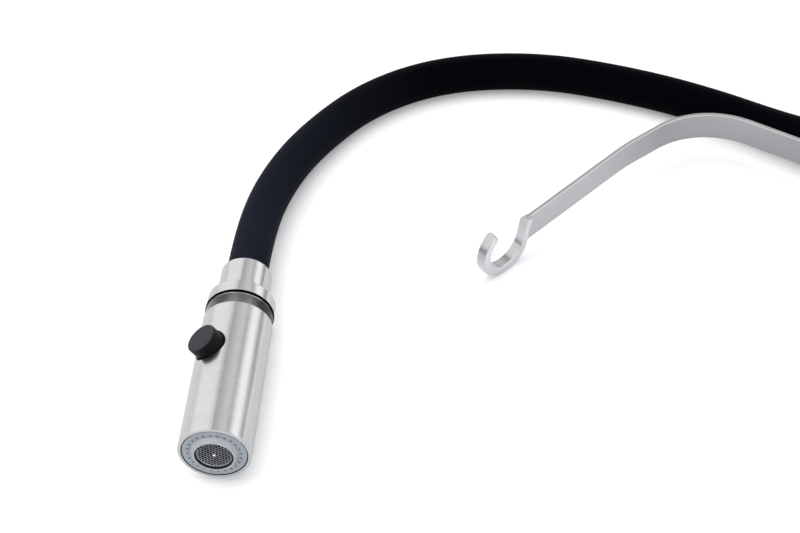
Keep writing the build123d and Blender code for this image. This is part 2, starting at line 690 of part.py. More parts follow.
def arm_hook():
    """Hook that the spray head's groove hangs in: a rounded tip, and a post faired into the strip."""
    body = extrude(hook_outline(), HOOK_DEPTH / 2, both=True)
    ends = [e for e in hook_rims(body) if abs(e.length - HOOK_WALL) < SAME]
    body = fillet([e for e in ends if max(e.center().X, e.center().Z) > 0], HOOK_END_ROUND)
    body = chamfer(hook_rims(body), HOOK_EDGE)
    behind = post_foot() * Pos(-HOOK_WALL / 2, 0, -HOOK_DEPTH / 2) * Rot(0, 45, 0)
    slope = Box(2 * HOOK_FAIRING, 4 * HOOK_OUTER, HOOK_FAIRING / cos(radians(45)))
    return hook_frame() * (body - behind * slope)


def arm_strip():
    """Flat strip, bent and then eased, from the carrier ring to the hook."""
    foot = Vector(-STRIP_FOOT, -STRIP_OFFSET, 0)
    bends = (STRIP_BEND_RADIUS, STRIP_EASE_RADIUS)
    path = FilletPolyline(foot, BEND_CORNER, EASE_CORNER, HOOK_CENTRE, radius=bends)
    section = RectangleRounded(STRIP_WIDTH, STRIP_THICKNESS, STRIP_EDGE)
    start = Plane(origin=foot, x_dir=(0, 0, 1), z_dir=(-1, 0, 0))
    body = ARM * sweep(start * section, path=path)
    hole = rod(0, COLUMN_RADIUS, SCREW_RADIUS + FIXED_FIT)
    for height in SCREW_HEIGHTS:
        body -= ARM * COLUMN * screw_place(height) * hole
    beside = (Align.MIN, Align.CENTER, Align.CENTER)
    inside = Box(2 * HOOK_OUTER, 4 * HOOK_OUTER, 4 * HOOK_DEPTH, align=beside)
    body -= hook_frame() * post_foot() * inside
    return body - hook_frame() * extrude(hook_outline(), HOOK_DEPTH, both=True)


def head_shell():
    """Steel tube of the spray head, with the button's hole."""
    body = ring(0, SHELL_LENGTH, HEAD_RADIUS, HEAD_BORE)
    rims = edges_at(body, 0, HEAD_RADIUS) + edges_at(body, SHELL_LENGTH, HEAD_RADIUS)
    body = HEAD * fillet(rims, SHELL_EDGE)
    return body - BUTTON * rod(0, 2 * HEAD_RADIUS, SLEEVE_RADIUS + FIXED_FIT)


def head_neck():
    """Plug in the shell's top with the neck that the hook holds and the flange above it."""
    low = NECK_BASE - NECK_PLUG
    body = rod(low, NECK_BASE, HEAD_BORE - FIXED_FIT) + rod(NECK_BASE, FLANGE_BASE, NECK_RADIUS)
    body += rod(FLANGE_BASE, FLANGE_BASE + NECK_FLANGE, NECK_FLANGE_RADIUS)
    body -= rod(low, low + NECK_POCKET_DEPTH, NECK_POCKET)
    bore = NIPPLE_RADIUS + RUNNING_FIT
    body -= rod(low, FLANGE_BASE + NECK_FLANGE, bore)
    groove = rod(NECK_BASE - ORING_SECTION, NECK_BASE + ORING_SECTION, bore + 2 * ORING_SECTION)
    return HEAD * (body - groove)


def neck_oring():
    """O-ring in the neck that seals on the hose's nipple."""
    middle = NIPPLE_RADIUS + RUNNING_FIT + ORING_SECTION
    return HEAD * Pos(0, 0, NECK_BASE) * Torus(middle, ORING_SECTION - FIXED_FIT)


def hose_head_nipple():
    """Nipple through the collar that the head turns on, with a retaining ring inside the neck."""
    seat = FERRULE_MOUTH - FERRULE_RECESS
    low = NECK_BASE - NECK_PLUG + ORING_SECTION
    return HEAD * ring(low, seat, NIPPLE_RADIUS, NIPPLE_BORE)


def nipple_circlip():
    """Ring on the nipple that keeps the head from pulling off."""
    high = NECK_BASE - NECK_PLUG + NECK_POCKET_DEPTH - SEAT_GAP
    return HEAD * ring(high - CIRCLIP_HEIGHT, high, NIPPLE_RING_RADIUS, NIPPLE_RADIUS + FIXED_FIT)


def check_valve():
    """Non-return valve inside the nipple."""
    body = rod(COLLAR_BASE, COLLAR_BASE + CHECK_VALVE_LENGTH, NIPPLE_BORE - FIXED_FIT)
    return HEAD * (body - rod(COLLAR_BASE, COLLAR_BASE + CHECK_VALVE_LENGTH, NIPPLE_BORE / 2))


def collar_seal():
    """Thin black ring between the collar and the turning head."""
    return HEAD * ring(COLLAR_SEAL_BASE, COLLAR_BASE, COLLAR_SEAL_RADIUS, NIPPLE_RADIUS + FIXED_FIT)


def head_collar():
    """Steel collar that joins the ferrule to the spray head."""
    body = ring(COLLAR_BASE, FERRULE_BASE, COLLAR_RADIUS, NIPPLE_RADIUS + FIXED_FIT)
    rims = edges_at(body, COLLAR_BASE, COLLAR_RADIUS) + edges_at(body, FERRULE_BASE, COLLAR_RADIUS)
    return HEAD * fillet(rims, COLLAR_EDGE)


def head_core():
    """Plastic core with the waterways, the aerator's seat and the button's pocket."""
    low = FACE_RECESS + FACE_HEIGHT
    high = NECK_BASE - NECK_PLUG - SEAT_GAP
    body = rod(low, high, HEAD_BORE - FIXED_FIT)
    body -= rod(low, AERATOR_DEPTH + FIXED_FIT, AERATOR_BASE + FIXED_FIT)
    body -= rod(low, high, WATER_BORE)
    body = HEAD * body
    body -= BUTTON * rod(POCKET_FLOOR, HEAD_RADIUS, SLEEVE_RADIUS + FIXED_FIT)
    stem_end = -STEM_REACH - BUTTON_TRAVEL - SEAT_GAP
    return body - BUTTON * rod(stem_end, POCKET_FLOOR, STEM_RADIUS + RUNNING_FIT)


def nozzle_places():
    """Places of the nozzles on their circle."""
    return PolarLocations(NOZZLE_CIRCLE, NOZZLE_COUNT, NOZZLE_TURN)


def face_plate():
    """Plastic face of the spray head with its nozzle holes."""
    top = FACE_RECESS + FACE_HEIGHT
    body = ring(FACE_RECESS, top, HEAD_BORE - FACE_SEAL_WIDTH - FIXED_FIT, AERATOR_BASE + FIXED_FIT)
    hole = rod(FACE_RECESS, top, NOZZLE_RADIUS + FIXED_FIT / 2)
    return HEAD * (body - [place * hole for place in nozzle_places()])


def face_seal():
    """Black ring between the face and the steel rim."""
    outer = HEAD_BORE - FIXED_FIT / 2
    return HEAD * ring(FACE_RECESS, FACE_RECESS + FACE_HEIGHT, outer, HEAD_BORE - FACE_SEAL_WIDTH)


def spray_nozzles():
    """Ring of small soft nozzles."""
    nozzle = ring(FACE_RECESS - NOZZLE_PROUD, FACE_RECESS + FACE_HEIGHT, NOZZLE_RADIUS, NOZZLE_BORE)
    return Compound(children=[HEAD * place * nozzle for place in nozzle_places()])


def aerator_housing():
    """Raised boss in the face that holds the aerator."""
    tip = FACE_RECESS - AERATOR_PROUD
    body = turned(
        (AERATOR_BORE, tip),
        (AERATOR_TIP, tip),
        (AERATOR_BASE, FACE_RECESS),
        (AERATOR_BASE, AERATOR_DEPTH),
        (AERATOR_BORE, AERATOR_DEPTH),
    )
    return HEAD * fillet(edges_at(body, tip, AERATOR_TIP), AERATOR_EDGE)


def mesh_cells():
    """Centres of the aerator's hexagon cells, in rings round the middle one."""
    cells = []
    for a in range(-MESH_RINGS, MESH_RINGS + 1):
        for b in range(-MESH_RINGS, MESH_RINGS + 1):
            if abs(a + b) <= MESH_RINGS:
                cells.append((MESH_PITCH * (a + b / 2), MESH_PITCH * b * sin(radians(60))))
    return cells


def aerator_mesh():
    """Honeycomb screen of the aerator."""
    tip = FACE_RECESS - AERATOR_PROUD + MESH_DEPTH
    holes = [Pos(x, y) * RegularPolygon(MESH_CELL, 6, rotation=30) for x, y in mesh_cells()]
    plate = Circle(AERATOR_BORE - FIXED_FIT / 2) - holes
    return HEAD * Pos(0, 0, tip) * extrude(plate, MESH_HEIGHT)


def aerator_insert():
    """Flow insert behind the screen."""
    low = FACE_RECESS - AERATOR_PROUD + MESH_DEPTH + MESH_HEIGHT
    return HEAD * ring(low, AERATOR_DEPTH - FIXED_FIT, AERATOR_BORE - FIXED_FIT, WATER_BORE / 2)


def button_sleeve():
    """Black guide sleeve that the button slides in."""
    body = BUTTON * ring(SLEEVE_FOOT, 2 * HEAD_RADIUS, SLEEVE_RADIUS, SLEEVE_BORE)
    return body & HEAD * rod(0, SHELL_LENGTH, HEAD_RADIUS - FIXED_FIT)


def button_cap():
    """Button that switches between jet and spray."""
    body = rod(BUTTON_FOOT, BUTTON_TOP, BUTTON_RADIUS)
    return BUTTON * fillet(edges_at(body, BUTTON_TOP, BUTTON_RADIUS), BUTTON_EDGE)


def diverter_stem():
    """Stem under the button that moves the water between jet and spray."""
    return BUTTON * rod(-STEM_REACH, BUTTON_FOOT, STEM_RADIUS)


def button_spring():
    """Spring that pushes the button out."""
    low = POCKET_FLOOR + SPRING_WIRE / 2 + FIXED_FIT
    height = BUTTON_FOOT - FIXED_FIT - SPRING_WIRE / 2 - low
    path = Helix(pitch=height / SPRING_TURNS, height=height, radius=SPRING_RADIUS)
    start = Plane(origin=path @ 0, z_dir=path % 0)
    return BUTTON * Pos(0, 0, low) * sweep(start * Circle(SPRING_WIRE / 2), path=path)


PIECES = [
    base_flange, deck_seal, threaded_shank, rubber_washer, steel_washer, shank_nut, column_tube,
    column_set_screw, valve_body, valve_housing, cartridge_case, cartridge_seal, fixed_ceramic_disc,
    moving_ceramic_disc, cartridge_nut, stem_carrier, pivot_pin, cover_cap, lever_spindle, lever_hub,
    lever_rod, lever_grub_screw, riser_tube, swivel_spigot, plug_oring, swivel_bush_lower,
    swivel_bush_upper, swivel_circlip, hose_base_nipple, hose_base_ferrule, spray_hose,
    hose_head_ferrule, hose_head_nipple, nipple_circlip, check_valve, head_collar, collar_seal,
    carrier_ring, arm_strip, arm_hook, arm_screws, head_shell, head_neck, neck_oring, head_core,
    face_plate, face_seal, spray_nozzles, aerator_housing, aerator_mesh, aerator_insert,
    button_sleeve, button_cap, diverter_stem, button_spring,
]

os.makedirs("parts", exist_ok=True)
for piece in PIECES:
    export_step(piece(), f"parts/{piece.__name__}.step")
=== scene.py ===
"""Dresses the kitchen mixer tap: finishes, hose, spray face, button spring, thread and studio."""

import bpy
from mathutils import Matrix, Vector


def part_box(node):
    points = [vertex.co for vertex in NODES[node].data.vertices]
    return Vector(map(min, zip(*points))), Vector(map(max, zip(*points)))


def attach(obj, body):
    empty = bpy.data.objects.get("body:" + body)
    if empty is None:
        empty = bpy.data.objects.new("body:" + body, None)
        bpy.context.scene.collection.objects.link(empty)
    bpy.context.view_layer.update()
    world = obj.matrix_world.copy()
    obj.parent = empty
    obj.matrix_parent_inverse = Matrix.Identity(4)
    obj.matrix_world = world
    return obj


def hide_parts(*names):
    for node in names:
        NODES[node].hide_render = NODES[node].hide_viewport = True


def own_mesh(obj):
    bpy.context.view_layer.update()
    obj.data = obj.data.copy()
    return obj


bl_info = {
    "name": "Kitchen mixer tap",
    "version": (1, 0, 0),
    "blender": (4, 5, 0),
    "location": "View3D > Sidebar > Tap",
    "description": "Finishes, hose, spray face, spring, thread and studio for a kitchen mixer tap",
    "category": "Object",
}

from math import cos, pi, radians, sin

import bmesh
import bpy
from mathutils import Matrix, Vector

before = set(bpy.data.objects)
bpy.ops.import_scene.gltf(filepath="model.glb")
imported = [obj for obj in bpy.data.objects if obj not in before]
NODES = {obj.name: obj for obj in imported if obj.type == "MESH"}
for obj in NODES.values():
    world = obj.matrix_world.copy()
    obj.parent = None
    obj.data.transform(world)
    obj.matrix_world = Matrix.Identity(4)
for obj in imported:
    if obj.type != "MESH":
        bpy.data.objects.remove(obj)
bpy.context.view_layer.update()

FLOOR_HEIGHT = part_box("column_tube")[0][2]

# The spray head: its axis runs from the face to the hose.
HEAD_HEADING = radians(116.1)
HEAD_TILT = radians(2.2)
HEAD_HEIGHT = 0.020974
HEAD_TURN = Matrix.Rotation(HEAD_HEADING, 3, "Z") @ Matrix.Rotation(HEAD_TILT, 3, "Y")
HEAD_AXIS = HEAD_TURN @ Vector((1, 0, 0))
HEAD_UP = HEAD_TURN @ Vector((0, 0, 1))
HEAD_FACE = Vector((-0.3905, -0.3458, FLOOR_HEIGHT + HEAD_HEIGHT))
HEAD_PLACE = Matrix((HEAD_UP, HEAD_AXIS.cross(HEAD_UP), HEAD_AXIS)).transposed().to_4x4()
HEAD_PLACE.translation = HEAD_FACE
TURNED_STEPS = 64
TURNED_MERGE = 1e-7

# Control points of the hose's middle line, from the column towards the spray head.
HOSE_ROUTE = (
    (-0.191, 0.0, 0.0),
    (-0.211, 0.0, 0.0),
    (-0.241, 0.0049, -0.0105),
    (-0.296, 0.0038, -0.0105),
    (-0.342, -0.0035, -0.0105),
    (-0.389, -0.0171, -0.0105),
    (-0.434, -0.0468, -0.0105),
    (-0.461, -0.087, -0.0105),
    (-0.470, -0.136, -0.0095),
    (-0.466, -0.178, -0.006),
)
HOSE_END_FROM_FACE = 0.11365
HOSE_END_STRAIGHT = 0.034
HOSE_STEPS = 14
# Where the hose's painted blue-grey sheen begins along Y, and how far on it is full.
HOSE_SHEEN_START = -0.06
HOSE_SHEEN_REACH = 0.15

# Heights on the spray face are measured into the head.
NOZZLE_FRONT = 0.00008
NOZZLE_TURN = radians(-4.5)
NOZZLE_DEPTH = 0.0006
NOZZLE_THROAT = 0.0002
NOZZLE_SIDES = 20
SCREEN_HEIGHT = -0.0007
SCREEN_DEPTH = 0.00028
SCREEN_ROWS = 15
# Share of a cell's pitch that stays free inside the screen's edge.
SCREEN_MARGIN = 0.35
SCREEN_SIDES = 72
CELL_SIDES = 6
RIM_FRONT = -0.0017
RIM_BACK = -0.0002
RIM_GAP = 0.0002
RIM_WALL = 0.0007
RIM_BEVEL = RIM_WALL / 3
PIN_RADIUS = 0.0006
PIN_HEIGHT = 0.0008
PIN_SHANK = 0.4 * PIN_HEIGHT
PIN_STEPS = 8

# The button moves along its own axis, which starts on the head's axis.
BUTTON_FROM_FACE = 0.0553
BUTTON_ROLL = radians(35)
BUTTON_FOOT = 0.013
BUTTON_TOP = 0.023
BUTTON_PLACE = (
    HEAD_PLACE
    @ Matrix.Translation((0, 0, BUTTON_FROM_FACE))
    @ Matrix.Rotation(-BUTTON_ROLL, 4, "Z")
    @ Matrix.Rotation(pi / 2, 4, "Y")
)
BUTTON_OUT = BUTTON_PLACE.to_3x3() @ Vector((0, 0, 1))
# The button's top is painted lighter than its sides, as painted light from above, down to this
# depth.
BUTTON_LIT_TOP_DEPTH = 0.0004
BUTTON_LIT_TOP_START = BUTTON_OUT.dot(BUTTON_PLACE.translation) + BUTTON_TOP - BUTTON_LIT_TOP_DEPTH
SPRING_FOOT = 0.0036
SPRING_TOP = 0.0129
SPRING_RADIUS = 0.0046
SPRING_WIRE = 0.0008
SPRING_TURNS = 5
SPRING_TURN_STEPS = 36
WIRE_SIDES = 12

SHANK_WALL = 0.003
SHANK_SIDES = 72
THREAD_START = 0.0
THREAD_TURN_STEPS = 8
THREAD_RUN_OUT = 0.002
# Shares of the pitch: from the middle of a crest to the root, and the flank between them.
THREAD_ROOT = 0.375
THREAD_FLANK = 0.25
# Share of the thread's height that is left at the shank's end.
THREAD_TIP = 0.15

# The strip's line is a painted highlight along its upper edge.
ARM_LEAN = radians(1.191)
STRIP_UP = (0, -sin(ARM_LEAN), cos(ARM_LEAN))
STRIP_HIGHLIGHT_HEIGHT = 0.0083
STRIP_HIGHLIGHT_HALF = 0.00035

# Brush lines per metre along each axis, and grains and clouds per metre.
AROUND_X = (5200, 95, 95)
AROUND_Z = (95, 95, 5200)
AROUND_HEAD = (2600, 60, 60)
ALONG_STRIP = (28, 28, 4200)
ALONG_X = (60, 3800, 3800)
BRUSH_BROADER = 7
BRUSH_FINE_SHARE = 0.65
BRUSH_BROAD_SHARE = 0.35
BRUSH_CLOUDS = 45
BRUSH_BUMP = 0.00006
SATIN_GRAIN = 2600
SATIN_CLOUDS = 90
SATIN_BUMP = 0.00004
RUBBER_SKIN = 2200
RUBBER_CLOUDS = 26
RUBBER_BUMP = 0.00005
RUBBER_SHEEN = (0.7, 0.82, 1)
PLASTIC_GRAIN = 1 / 0.0003
PLASTIC_CLOUDS = 120
PLASTIC_BUMP = 0.00005
CERAMIC_CLOUDS = 160

FLOOR_HALF = 6.0
FLOOR_GAP = 0.0003
# A pool of light painted on the floor, seen only in the metal: how it fades with the distance from
# the strip's middle.
PAINTED_LIGHT_MIDDLE = (-0.31, -0.115, FLOOR_HEIGHT)
PAINTED_LIGHT_FADE = 0.06
PAINTED_LIGHT_REACH = 1.7
WHITE = (1, 1, 1, 1)
SKY_COLOUR = (0.93, 0.96, 1.0, 1)
# Each card's two angles about the head's axis, from upright, and its brightness.
REFLECTION_CARDS = {
    "card_left": (-80, -17, 1.1),
    "card_dark": (-14, -5, 0.34),
    "card_top": (-5, 10, 0.64),
    "card_light": (10, 29, 0.82),
    "card_grey": (32, 44, 0.48),
    "card_right": (51, 76, 1.36),
    "card_edge": (78, 88, 0.55),
}
CARD_DISTANCE = 1.1
CARD_REACH = 3.0
CARD_STEPS = 6
# Each lamp's place from the middle of the view, its width and its share of the power.
LAMPS = {
    "softbox_top": ((-0.2, -0.1, 1.3), 1.9, 1.55),
    "softbox_left": ((-1.1, -0.4, 0.8), 0.7, 0.15),
    "softbox_front": ((0.5, -1.1, 0.9), 0.9, 0.4),
}
LAMP_MIDDLE = Vector((-0.36, -0.18, FLOOR_HEIGHT))
CAMERA_PLACE = Vector((-0.0619, -0.7417, 0.6731))
CAMERA_TARGET = Vector((-0.385, -0.1825, -0.021))
CAMERA_SENSOR = 36.0
CAMERA_NEAREST = 0.01


def length_property(name, description, default):
    """A size in metres."""
    return bpy.props.FloatProperty(
        name=name, description=description, default=default, precision=5, unit="LENGTH"
    )


def level_property(name, description, default):
    """A strength, share or power."""
    return bpy.props.FloatProperty(name=name, description=description, default=default, min=0)


def colour_property(name, description, default):
    """A linear colour."""
    return bpy.props.FloatVectorProperty(
        name=name, description=description, default=default, size=3, min=0, max=1, subtype="COLOR"
    )


class TapSizes(bpy.types.PropertyGroup):
    """Sizes of the pieces that are made here."""

    hose_diameter: length_property("Hose diameter", "Outside of the rubber hose", 0.021)
    nozzle_count: bpy.props.IntProperty(
        name="Nozzles", description="Nozzles on the spray face", default=24, min=3, max=60
    )
    nozzle_circle: length_property("Nozzle circle", "Radius of the ring of nozzles", 0.01275)
    nozzle_mouth: length_property("Nozzle mouth", "Radius of a nozzle's opening", 0.00042)
    cell_pitch: length_property("Cell pitch", "Distance between the aerator's cells", 0.0016)
    cell_wall: length_property("Cell wall", "Thickness of the aerator's cell walls", 0.00017)
    screen_radius: length_property("Screen radius", "Radius of the aerator's screen", 0.0083)
    thread_pitch: length_property("Thread pitch", "Pitch of the shank's thread", 0.002)
    thread_depth: length_property("Thread depth", "Depth of the shank's thread", 0.0009)


class TapColours(bpy.types.PropertyGroup):
    """Colours of the finishes."""

    steel: colour_property("Steel", "Brushed steel of column and head", (0.66, 0.66, 0.665))
    # Strip: the head's steel made darker, painted shade for the dim floor it mirrors.
    strip: colour_property("Strip", "Brushed steel of the strip arm", (0.44, 0.44, 0.45))
    # Edge: a painted highlight along the strip's upper edge, not the steel's own colour.
    edge: colour_property("Edge", "Strip's upper edge, rubbed bright", (0.82, 0.82, 0.83))
    hook: colour_property("Hook", "Satin steel of the hook", (0.57, 0.57, 0.58))
    rubber: colour_property("Rubber", "Hose and seals", (0.0004, 0.0005, 0.001))
    # Bloom: a painted sheen, the hose drawn blue-grey towards the spray head.
    bloom: colour_property("Bloom", "Hose near the spray head", (0.0088, 0.0104, 0.0165))
    button: colour_property("Button", "Spray button", (0.0025, 0.0025, 0.0032))
    # Button top: painted light, the top lighter than the black sides.
    button_top: colour_property("Button top", "Rubbed top of the button", (0.025, 0.025, 0.03))
    face: colour_property("Face", "Spray face", (0.29, 0.315, 0.345))
    boss: colour_property("Boss", "Aerator's boss", (0.36, 0.38, 0.405))
    screen: colour_property("Screen", "Aerator's screen", (0.6, 0.615, 0.64))
    brass: colour_property("Brass", "Shank, nut and valve body", (0.64, 0.47, 0.20))
    copper: colour_property("Copper", "Riser tube", (0.64, 0.34, 0.20))
    plastic: colour_property("Plastic", "Inner plastic pieces", (0.72, 0.72, 0.70))
    ceramic: colour_property("Ceramic", "Valve discs", (0.86, 0.86, 0.85))


class TapStage(bpy.types.PropertyGroup):
    """Camera, floor and light."""

    lens: bpy.props.FloatProperty(
        name="Lens", description="Focal length in millimetres", default=81.0
    )
    floor: colour_property("Floor", "White surface under the tap", (0.95, 0.957, 0.965))
    floor_glow: level_property("Floor glow", "Share of plain white in the floor", 0.2)
    # In reflections the floor is painted darker, and painted lighter again beside the strip.
    floor_painted_shade: level_property("Mirrored floor", "Floor's lightness in the metal", 0.63)
    strip_mirrored: level_property("Floor by the strip", "Floor's lightness in the strip", 1.0)
    sky: level_property("Sky", "Strength of the soft light all round", 0.4)
    softbox: level_property("Softbox", "Watts of a lamp whose share is 1", 14.2)


class Term:
    """An outgoing socket of a node tree: operators on it add Math nodes."""

    def __init__(self, nodes, socket):
        self.nodes = nodes
        self.socket = socket

    def math(self, operation, first, second=0.0):
        """A Math node on values or terms."""
        values = {0: first, 1: second}
        return self.nodes.node("ShaderNodeMath", {"operation": operation}, values)

    def __add__(self, other):
        return self.math("ADD", self, other)

    def __radd__(self, other):
        return self.math("ADD", other, self)

    def __sub__(self, other):
        return self.math("SUBTRACT", self, other)

    def __rsub__(self, other):
        return self.math("SUBTRACT", other, self)

    def __mul__(self, other):
        return self.math("MULTIPLY", self, other)

    def __rmul__(self, other):
        return self.math("MULTIPLY", other, self)

    def __truediv__(self, other):
        return self.math("DIVIDE", self, other)

    def __rtruediv__(self, other):
        return self.math("DIVIDE", other, self)

    def __or__(self, other):
        return self.math("MAXIMUM", self, other)

    def __ror__(self, other):
        return self.math("MAXIMUM", other, self)

    def __abs__(self):
        return self.math("ABSOLUTE", self)


class Nodes:
    """Adds nodes to a tree."""

    def __init__(self, tree):
        self.tree = tree

    def node(self, kind, settings=None, values=None, output=0):
        """Adds a node: its settings first, then the values or links of its sockets."""
        made = self.tree.nodes.new(kind)
        for key, value in (settings or {}).items():
            setattr(made, key, value)
        for key, value in (values or {}).items():
            self.feed(made.inputs[key], value)
        return Term(self, made.outputs[output]) if made.outputs else None

    def feed(self, socket, value):
        """Sets a socket to a value or links a term to it."""
        if isinstance(value, Term):
            self.tree.links.new(value.socket, socket)
        else:
            socket.default_value = value


class ShaderNodes(Nodes):
    """The shader tree of a material or the world."""

    def __init__(self, owner):
        owner.use_nodes = True
        super().__init__(owner.node_tree)

    def tint(self, factor, dark, light):
        """A colour between two colours, each a value or a term."""
        ends = [end if isinstance(end, Term) else (*end, 1) for end in (dark, light)]
        settings = {"data_type": "RGBA", "clamp_factor": True}
        return self.node("ShaderNodeMix", settings, {0: factor, 6: ends[0], 7: ends[1]}, output=2)

    def object_place(self):
        """The object's own coordinates."""
        return self.node("ShaderNodeTexCoord", output="Object")

    def measure(self, operation, vector):
        """A number from the object's coordinates and a vector."""
        values = {0: self.object_place(), 1: vector}
        return self.node("ShaderNodeVectorMath", {"operation": operation}, values, output="Value")

    def rays(self, kind):
        """1 for rays of one kind."""
        return self.node("ShaderNodeLightPath", output=f"Is {kind} Ray")


class Finish(ShaderNodes):
    """A material with one principled shader and the nodes that vary it."""

    def __init__(self, name, colour, roughness, metallic=0.0, specular=0.5):
        self.material = bpy.data.materials.new(name)
        super().__init__(self.material)
        self.shader = next(n for n in self.tree.nodes if n.type == "BSDF_PRINCIPLED")
        self.shader.inputs["Base Color"].default_value = (*colour, 1)
        self.shader.inputs["Roughness"].default_value = roughness
        self.shader.inputs["Metallic"].default_value = metallic
        self.shader.inputs["Specular IOR Level"].default_value = specular
        self.material.diffuse_color = (*colour, 1)

    def noise(self, scale, turn=(0, 0, 0), detail=2.0, roughness=0.6):
        """Noise from 0 to 1, with a number of grains per metre along each turned axis."""
        scales = scale if isinstance(scale, tuple) else (scale,) * 3
        inverse = tuple(1 / s for s in scales)
        values = {"Vector": self.object_place(), "Rotation": turn, "Scale": inverse}
        place = self.node("ShaderNodeMapping", {"vector_type": "TEXTURE"}, values)
        values = {"Vector": place, "Scale": 1.0, "Detail": detail, "Roughness": roughness}
        return self.node("ShaderNodeTexNoise", {"noise_dimensions": "3D"}, values)

    def uneven(self, mask, colour, dark, light):
        """A colour between a darker and a lighter share of itself."""
        return self.tint(mask, shade(colour, dark), shade(colour, light))

    def spread(self, middle, *masks):
        """A value about its middle, from masks and how far each one spreads it."""
        total = middle - sum(reach for _, reach in masks) / 2
        for mask, reach in masks:
            total = mask * reach + total
        return total

    def bump(self, height, strength, distance):
        """Turns a height into the shader's normal."""
        values = {"Height": height, "Strength": strength, "Distance": distance}
        self.feed(self.shader.inputs["Normal"], self.node("ShaderNodeBump", {}, values))

    def vary(self, colour, roughness):
        """Feeds terms to the shader's colour and roughness."""
        self.feed(self.shader.inputs["Base Color"], colour)
        self.feed(self.shader.inputs["Roughness"], roughness)


def clamp(value):
    """A value held between 0 and 1."""
    return min(1.0, max(0.0, value))


def shade(colour, share):
    """A colour made darker or lighter by a share."""
    return tuple(min(1.0, c * share) for c in colour)


def painted_highlight_line(finish):
    """1 on the painted highlight along the strip's upper edge, fading to 0 beside it."""
    height = finish.measure("DOT_PRODUCT", STRIP_UP)
    return 1 - abs(height - STRIP_HIGHLIGHT_HEIGHT) / STRIP_HIGHLIGHT_HALF


def painted_lit_top(finish):
    """1 on the button's top face, 0 on its sides: the top takes painted light."""
    return (finish.measure("DOT_PRODUCT", BUTTON_OUT) - BUTTON_LIT_TOP_START) / BUTTON_LIT_TOP_DEPTH


def hose_bloom(finish):
    """0 on most of the hose, rising to 1 towards the spray head, where its sheen is painted."""
    across = finish.node("ShaderNodeSeparateXYZ", {}, {0: finish.object_place()}, output="Y")
    return (HOSE_SHEEN_START - across) / HOSE_SHEEN_REACH


def brushed_steel(name, colour, scale, turn=(0, 0, 0), roughness=0.3, depth=0.35, edge=None):
    """Steel with fine brush lines that run across the axis with the largest scale."""
    finish = Finish(name, colour, roughness, metallic=1.0)
    lines = finish.noise(scale, turn, detail=4.0, roughness=0.7)
    broad = finish.noise(tuple(s / BRUSH_BROADER for s in scale), turn)
    cloud = finish.noise(BRUSH_CLOUDS)
    grain = lines * BRUSH_FINE_SHARE + broad * BRUSH_BROAD_SHARE
    brushed = finish.uneven(grain, colour, dark=0.86, light=1.13)
    finish.vary(
        # The edge colour paints a highlight along the strip's upper edge.
        colour=finish.tint(painted_highlight_line(finish), brushed, edge) if edge else brushed,
        roughness=finish.spread(roughness, (grain, 0.14), (cloud, 0.08)),
    )
    finish.bump(grain, strength=depth, distance=BRUSH_BUMP)
    return finish.material


def satin_steel(name, colour, roughness=0.24):
    """Steel with a soft satin finish and no direction."""
    finish = Finish(name, colour, roughness, metallic=1.0)
    grain = finish.noise(SATIN_GRAIN, detail=3.0)
    cloud = finish.noise(SATIN_CLOUDS)
    finish.vary(
        colour=finish.uneven(cloud, colour, dark=0.93, light=1.06),
        roughness=finish.spread(roughness, (grain, 0.10), (cloud, 0.08)),
    )
    finish.bump(grain, strength=0.15, distance=SATIN_BUMP)
    return finish.material


def black_rubber(name, colour, bloom=None, roughness=0.52):
    """Smooth black rubber with a fine skin, and on the hose a painted blue-grey sheen."""
    finish = Finish(name, colour, roughness, specular=0.02)
    finish.shader.inputs["Specular Tint"].default_value = (*RUBBER_SHEEN, 1)
    cloud = finish.noise(RUBBER_CLOUDS, detail=3.0)
    skin = finish.noise(RUBBER_SKIN)
    if bloom:
        tinted = finish.tint(hose_bloom(finish), colour, bloom)
    else:
        tinted = finish.uneven(cloud, colour, dark=0.75, light=1.5)
    finish.vary(
        colour=tinted,
        roughness=finish.spread(roughness, (cloud, 0.12), (skin, 0.08)),
    )
    finish.bump(skin, strength=0.12, distance=RUBBER_BUMP)
    return finish.material


def moulded_plastic(name, colour, roughness=0.42, specular=0.4, painted_light=None):
    """Moulded plastic with a fine spark texture, and on the button a top painted lighter as if lit
    from above.
    """
    finish = Finish(name, colour, roughness, specular=specular)
    grain = finish.noise(PLASTIC_GRAIN)
    cloud = finish.noise(PLASTIC_CLOUDS)
    moulded = finish.uneven(cloud, colour, dark=0.9, light=1.1)
    finish.vary(
        # On the button the top is painted lighter: painted light, not wear.
        colour=finish.tint(painted_lit_top(finish), moulded, painted_light) if painted_light else moulded,
        roughness=finish.spread(roughness, (grain, 0.14), (cloud, 0.06)),
    )
    finish.bump(grain, strength=0.14, distance=PLASTIC_BUMP)
    return finish.material


def glazed_ceramic(name, colour, roughness=0.12):
    """Polished ceramic with faint clouds."""
    finish = Finish(name, colour, roughness)
    cloud = finish.noise(CERAMIC_CLOUDS, detail=3.0)
    finish.vary(
        colour=finish.uneven(cloud, colour, dark=0.96, light=1.04),
        roughness=finish.spread(roughness, (cloud, 0.08)),
    )
    return finish.material


